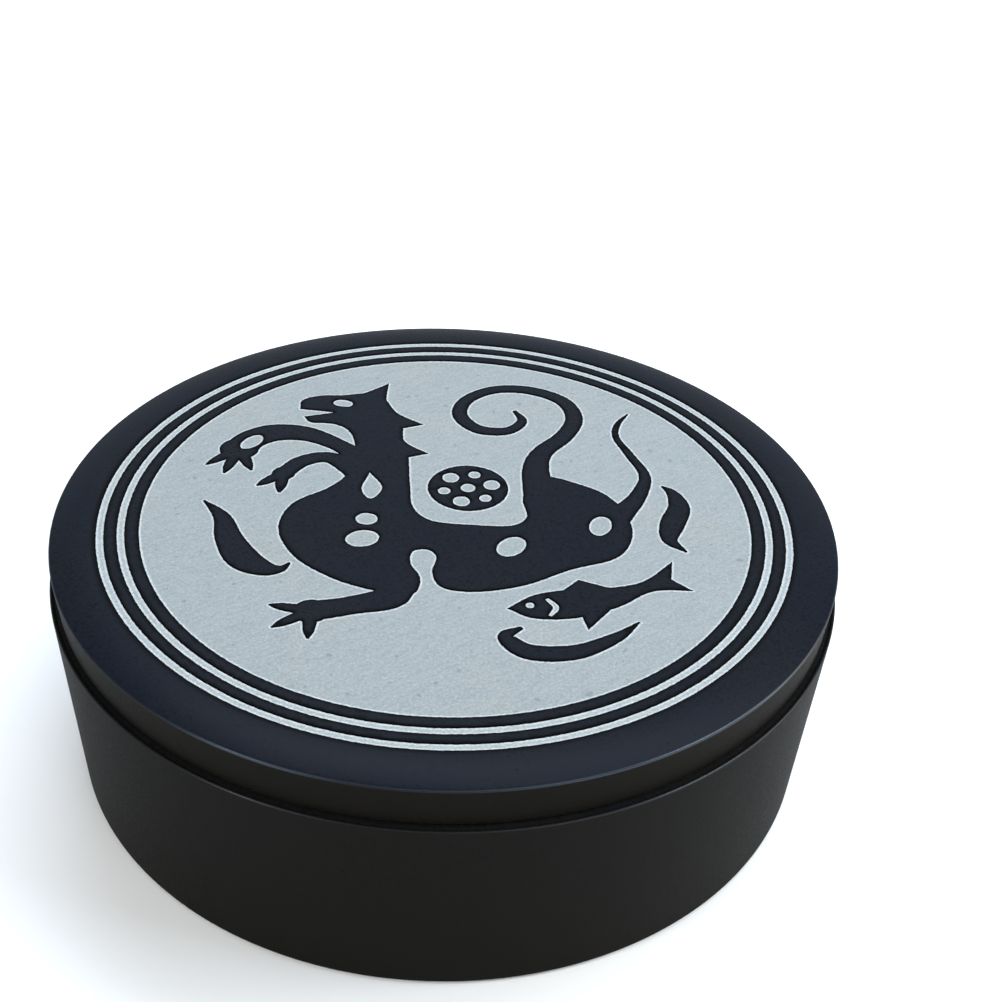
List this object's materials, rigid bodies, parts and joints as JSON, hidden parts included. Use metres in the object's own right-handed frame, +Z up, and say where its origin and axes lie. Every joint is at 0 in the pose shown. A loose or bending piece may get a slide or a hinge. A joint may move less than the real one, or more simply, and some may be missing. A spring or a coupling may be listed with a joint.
{
  "type": "lidded ink slab",
  "caption": "Round dark stone ink slab with a lift-off lid, an etched pale field and ring lines on top, and a grinding face with a crescent ink pool inside.",
  "frame": {"origin": "centre of the underside, on the surface that the slab stands on", "axes": "+Z up along the turning axis, +Y towards the ink pool, +X to the right as seen by the user"},
  "size_m": [0.1342, 0.1342, 0.0438],
  "materials": {
    "body_stone": "satin honed dark slate",
    "lid_stone": "satin honed blue-black slate",
    "pale_fill": "matt pale grey mineral fill"
  },
  "bodies": {
    "body": {"body": "body_stone"},
    "lid": {"lid": "lid_stone", "ground_inlay": "pale_fill", "inner_ring_inlay": "pale_fill", "outer_ring_inlay": "pale_fill"}
  },
  "joints": [
    {"name": "lid_lift", "type": "slide", "parent": "body", "child": "lid", "axis": [0, 0, 1], "range_m": [0, 0.06]}
  ]
}
